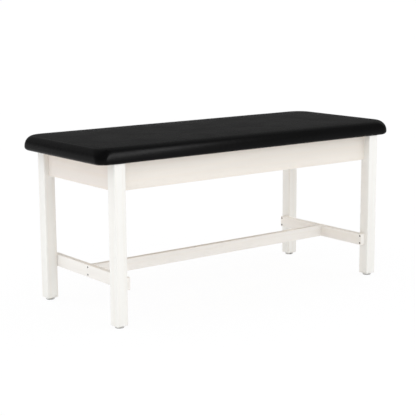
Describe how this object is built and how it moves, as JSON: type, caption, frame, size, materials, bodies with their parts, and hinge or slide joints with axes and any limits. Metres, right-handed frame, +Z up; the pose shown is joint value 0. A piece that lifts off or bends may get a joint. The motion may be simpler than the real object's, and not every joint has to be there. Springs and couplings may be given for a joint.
{
  "type": "exam table",
  "caption": "Fixed-height treatment and exam table with a long upholstered pad, a straight wooden apron, square legs, an H-shaped stretcher and levelling feet.",
  "frame": {"origin": "on the floor, under the middle of the table", "axes": "+X along the table to its right end, +Y to its rear, +Z up"},
  "size_m": [1.842, 0.72, 0.844],
  "materials": {
    "black_vinyl": "satin upholstery vinyl",
    "foam": "open-cell foam",
    "plywood": "sanded plywood",
    "white_wood": "white stained hardwood, clear satin coat",
    "bare_wood": "planed hardwood",
    "dark_steel": "dark zinc plated",
    "zinc_steel": "bright zinc plated",
    "white_nylon": "moulded nylon",
    "black_rubber": "moulded rubber"
  },
  "bodies": {
    "root": {"block_screws": "zinc_steel", "bolt_nuts": "zinc_steel", "bolt_washers": "zinc_steel", "brace_screws": "dark_steel", "corner_block_front_left": "bare_wood", "corner_block_front_right": "bare_wood", "corner_block_rear_left": "bare_wood", "corner_block_rear_right": "bare_wood", "cover_staples": "zinc_steel", "cross_rail_1": "bare_wood", "cross_rail_2": "bare_wood", "cross_rail_3": "bare_wood", "cross_rail_4": "bare_wood", "deck_board": "plywood", "deck_screws": "zinc_steel", "end_apron_left": "white_wood", "end_apron_right": "white_wood", "end_stretcher_left": "white_wood", "end_stretcher_right": "white_wood", "foam_pad": "foam", "foot_inserts": "zinc_steel", "hanger_bolts": "zinc_steel", "leg_front_left": "white_wood", "leg_front_right": "white_wood", "leg_rear_left": "white_wood", "leg_rear_right": "white_wood", "leg_screws": "dark_steel", "long_apron_front": "white_wood", "long_apron_rear": "white_wood", "long_stretcher": "white_wood", "vinyl_cover": "black_vinyl"},
    "foot_front_left": {"foot_base_front_left": "white_nylon", "foot_pad_front_left": "black_rubber"},
    "foot_front_right": {"foot_base_front_right": "white_nylon", "foot_pad_front_right": "black_rubber"},
    "foot_rear_left": {"foot_base_rear_left": "white_nylon", "foot_pad_rear_left": "black_rubber"},
    "foot_rear_right": {"foot_base_rear_right": "white_nylon", "foot_pad_rear_right": "black_rubber"},
    "stem_front_left": {"foot_stem_front_left": "zinc_steel"},
    "stem_front_right": {"foot_stem_front_right": "zinc_steel"},
    "stem_rear_left": {"foot_stem_rear_left": "zinc_steel"},
    "stem_rear_right": {"foot_stem_rear_right": "zinc_steel"}
  },
  "joints": [
    {"name": "foot_height_front_left", "type": "slide", "parent": "root", "child": "foot_front_left", "axis": [0, 0, -1], "range_m": [0, 0.015]},
    {"name": "stem_turn_front_left", "type": "hinge", "parent": "foot_front_left", "child": "stem_front_left", "pos_m": [-0.8075, -0.319, 0.01], "axis": [0, 0, -1], "range_deg": [0, 3600]},
    {"name": "foot_height_front_right", "type": "slide", "parent": "root", "child": "foot_front_right", "axis": [0, 0, -1], "range_m": [0, 0.015]},
    {"name": "stem_turn_front_right", "type": "hinge", "parent": "foot_front_right", "child": "stem_front_right", "pos_m": [0.8075, -0.319, 0.01], "axis": [0, 0, -1], "range_deg": [0, 3600]},
    {"name": "foot_height_rear_left", "type": "slide", "parent": "root", "child": "foot_rear_left", "axis": [0, 0, -1], "range_m": [0, 0.015]},
    {"name": "stem_turn_rear_left", "type": "hinge", "parent": "foot_rear_left", "child": "stem_rear_left", "pos_m": [-0.8075, 0.319, 0.01], "axis": [0, 0, -1], "range_deg": [0, 3600]},
    {"name": "foot_height_rear_right", "type": "slide", "parent": "root", "child": "foot_rear_right", "axis": [0, 0, -1], "range_m": [0, 0.015]},
    {"name": "stem_turn_rear_right", "type": "hinge", "parent": "foot_rear_right", "child": "stem_rear_right", "pos_m": [0.8075, 0.319, 0.01], "axis": [0, 0, -1], "range_deg": [0, 3600]}
  ],
  "couplings": [
    {"joint": "stem_turn_front_left", "follows": "foot_height_front_left", "rad_per_m": 4188.8},
    {"joint": "stem_turn_front_right", "follows": "foot_height_front_right", "rad_per_m": 4188.8},
    {"joint": "stem_turn_rear_left", "follows": "foot_height_rear_left", "rad_per_m": 4188.8},
    {"joint": "stem_turn_rear_right", "follows": "foot_height_rear_right", "rad_per_m": 4188.8}
  ]
}
